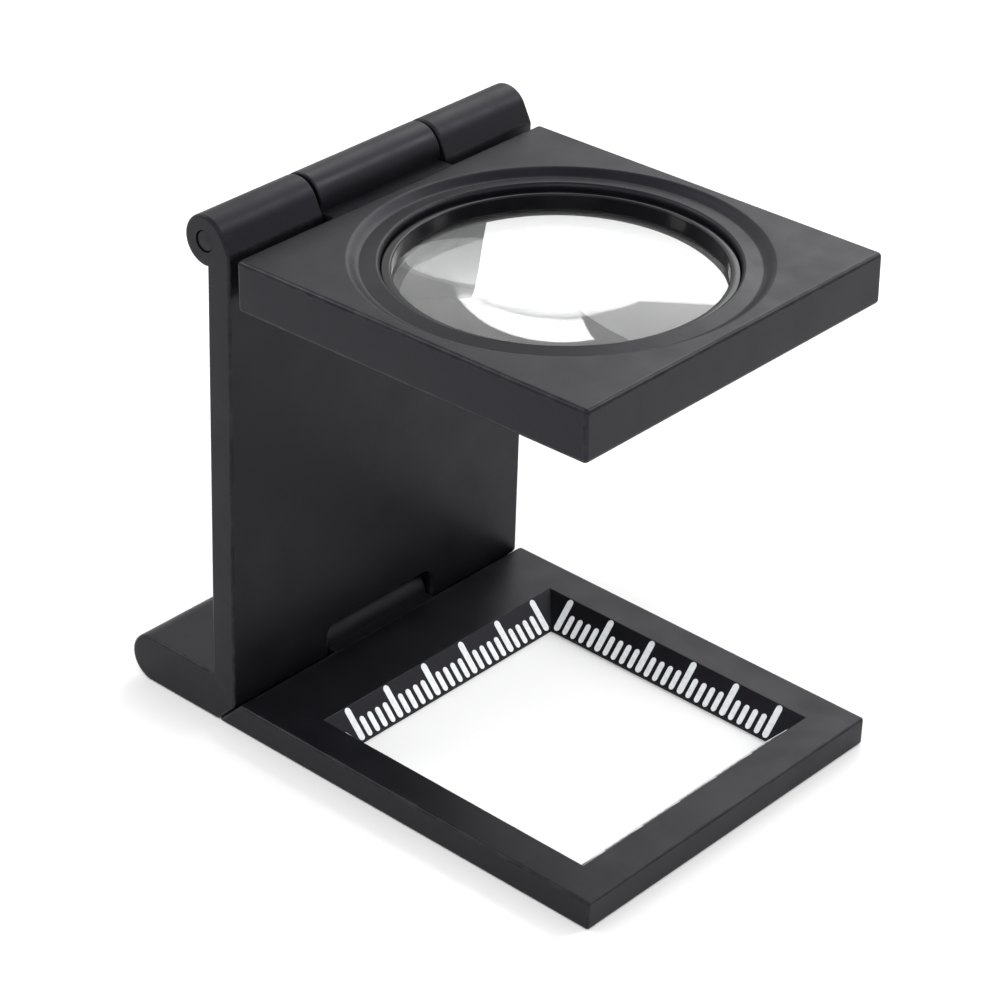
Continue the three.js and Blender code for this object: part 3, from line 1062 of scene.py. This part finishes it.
class LINENTESTER_OT_hinge_pins(bpy.types.Operator):
    """Make the two hinge pins with rounded ends"""

    bl_idname = "linentester.hinge_pins"
    bl_label = "Hinge pins"

    def execute(self, context):
        castings = context.scene.linen_castings
        steel = pin_steel("pin_steel")
        for name, node, low, high in (
            ("upper_pin", "lens_hinge_pin", LENS_PIN_LOW, LENS_PIN_HIGH),
            ("lower_pin", "base_hinge_pin", BASE_PIN_LOW, BASE_PIN_HIGH),
        ):
            middle = (low + high) / 2
            body = rod_along_y(castings.pin_radius, middle.x, middle.z, low.y, high.y)
            piece = to_piece(name, body, steel)
            soften(piece, PIN_EDGE, PIN_EDGE_ANGLE)
            settle_normals(piece)
            finish_piece(piece, "stand", "pin_steel", node)
        return {"FINISHED"}


def settle_normals(piece):
    """Keeps the large faces flat where they meet their rounded edges."""
    piece.data.set_sharp_from_angle(angle=math.radians(SHADING_ANGLE))
    modifier = piece.modifiers.new("even_normals", "WEIGHTED_NORMAL")
    modifier.keep_sharp = True
    modifier.weight = FLAT_FACE_WEIGHT
    bake(piece)


# The sky's brightness against height, from level with the floor to overhead.
SKY_STOPS = ((0.0, 0.32), (0.30, 1.2), (0.66, 1.25), (1.0, 0.50))

# Each light's name, place, width in metres and power in watts.
LIGHTS = (
    ("left_light", (-0.49, -0.24, 0.51), 0.16, 0.9),
    ("right_light", (0.26, 0.48, 0.51), 0.16, 0.9),
    ("back_light", (-0.20, 0.60, 0.45), 0.50, 1.6),
    ("front_light", (0.30, -0.45, 0.70), 0.45, 1.4),
)
LIGHT_AIM = (0, 0, 0.02)

FLOOR_HALF_WIDTH = 3.0
FLOOR_CLOUD = (3, 3)
FLOOR_DARK = (0.93, 0.93, 0.93)
FLOOR_LIGHT = (0.95, 0.95, 0.95)
FLOOR_ROUGHNESS = 0.9
FLOOR_SPECULAR = 0.1

CAMERA_PLACE = (0.17180, -0.19819, 0.18065)
CAMERA_RIGHT = (0.74309, 0.66853, 0.02979)
CAMERA_UP = (-0.36520, 0.36783, 0.85518)
CAMERA_BACK = (0.56076, -0.64635, 0.51747)
CAMERA_LENS = 125.41
CAMERA_SENSOR = 36
CAMERA_NEAR = 0.01


class LINENTESTER_OT_stage(bpy.types.Operator):
    """Make the floor, the lights and the camera"""

    bl_idname = "linentester.stage"
    bl_label = "Stage"

    def execute(self, context):
        self.floor()
        self.lights(context)
        self.camera(context)
        return {"FINISHED"}

    def floor(self):
        body = bmesh.new()
        bmesh.ops.create_grid(body, x_segments=1, y_segments=1, size=FLOOR_HALF_WIDTH)
        nodes = Nodes("floor_white")
        sockets = nodes.shader.inputs
        cloud = nodes.noise(*FLOOR_CLOUD)
        nodes.link(nodes.blend(cloud, FLOOR_DARK, FLOOR_LIGHT), sockets["Base Color"])
        sockets["Roughness"].default_value = FLOOR_ROUGHNESS
        sockets["Specular IOR Level"].default_value = FLOOR_SPECULAR
        floor = to_piece("floor", body, nodes.material)

    def lights(self, context):
        world = bpy.data.worlds.new("studio")
        world.use_nodes = True
        self.sky(world.node_tree)
        context.scene.world = world
        context.scene.view_settings.view_transform = "Standard"
        for name, place, size, power in LIGHTS:
            lamp = bpy.data.lights.new(name, "AREA")
            lamp.shape = "DISK"
            lamp.size = size
            lamp.energy = power
            holder = bpy.data.objects.new(name, lamp)
            context.scene.collection.objects.link(holder)
            holder.location = place
            towards = Vector(LIGHT_AIM) - Vector(place)
            holder.rotation_euler = towards.to_track_quat("-Z", "Y").to_euler()

    def sky(self, tree):
        """A white room that is brightest part way up its walls."""
        direction = tree.nodes.new("ShaderNodeTexCoord").outputs["Generated"]
        split = tree.nodes.new("ShaderNodeSeparateXYZ")
        ramp = tree.nodes.new("ShaderNodeValToRGB")
        tree.links.new(direction, split.inputs[0])
        tree.links.new(split.outputs["Z"], ramp.inputs["Fac"])
        stops = ramp.color_ramp.elements
        for place, _ in SKY_STOPS[1:-1]:
            stops.new(place)
        for stop, (place, level) in zip(stops, SKY_STOPS):
            stop.position = place
            stop.color = (level, level, level, 1)
        tree.links.new(ramp.outputs["Color"], tree.nodes["Background"].inputs["Color"])

    def camera(self, context):
        data = bpy.data.cameras.new("camera")
        data.sensor_width = CAMERA_SENSOR
        data.lens = CAMERA_LENS
        data.clip_start = CAMERA_NEAR
        camera = bpy.data.objects.new("camera", data)
        context.scene.collection.objects.link(camera)
        turn = Matrix((CAMERA_RIGHT, CAMERA_UP, CAMERA_BACK)).transposed().to_4x4()
        camera.matrix_world = Matrix.Translation(CAMERA_PLACE) @ turn
        context.scene.camera = camera


class LINENTESTER_PT_panel(bpy.types.Panel):
    """The linen tester's settings and pieces"""

    bl_idname = "LINENTESTER_PT_panel"
    bl_label = "Linen tester"
    bl_space_type = "VIEW_3D"
    bl_region_type = "UI"
    bl_category = "Linen tester"

    def draw(self, context):
        for attribute, group in SETTINGS:
            box = self.layout.box()
            for field in group.__annotations__:
                box.prop(getattr(context.scene, attribute), field)
        for operator in OPERATORS:
            self.layout.operator(operator.bl_idname)


OPERATORS = (
    LINENTESTER_OT_stand,
    LINENTESTER_OT_base_plate,
    LINENTESTER_OT_scale_marks,
    LINENTESTER_OT_lens_plate,
    LINENTESTER_OT_lens,
    LINENTESTER_OT_retaining_ring,
    LINENTESTER_OT_hinge_pins,
    LINENTESTER_OT_stage,
)


def register():
    for attribute, group in SETTINGS:
        bpy.utils.register_class(group)
        setattr(bpy.types.Scene, attribute, bpy.props.PointerProperty(type=group))
    for operator in OPERATORS:
        bpy.utils.register_class(operator)
    bpy.utils.register_class(LINENTESTER_PT_panel)


def unregister():
    bpy.utils.unregister_class(LINENTESTER_PT_panel)
    for operator in reversed(OPERATORS):
        bpy.utils.unregister_class(operator)
    for attribute, group in reversed(SETTINGS):
        delattr(bpy.types.Scene, attribute)
        bpy.utils.unregister_class(group)


def main():
    register()
    bpy.ops.linentester.stage()
    bpy.ops.linentester.stand()
    bpy.ops.linentester.base_plate()
    bpy.ops.linentester.scale_marks()
    bpy.ops.linentester.lens_plate()
    bpy.ops.linentester.lens()
    bpy.ops.linentester.retaining_ring()
    bpy.ops.linentester.hinge_pins()


if __name__ == "__main__":
    main()
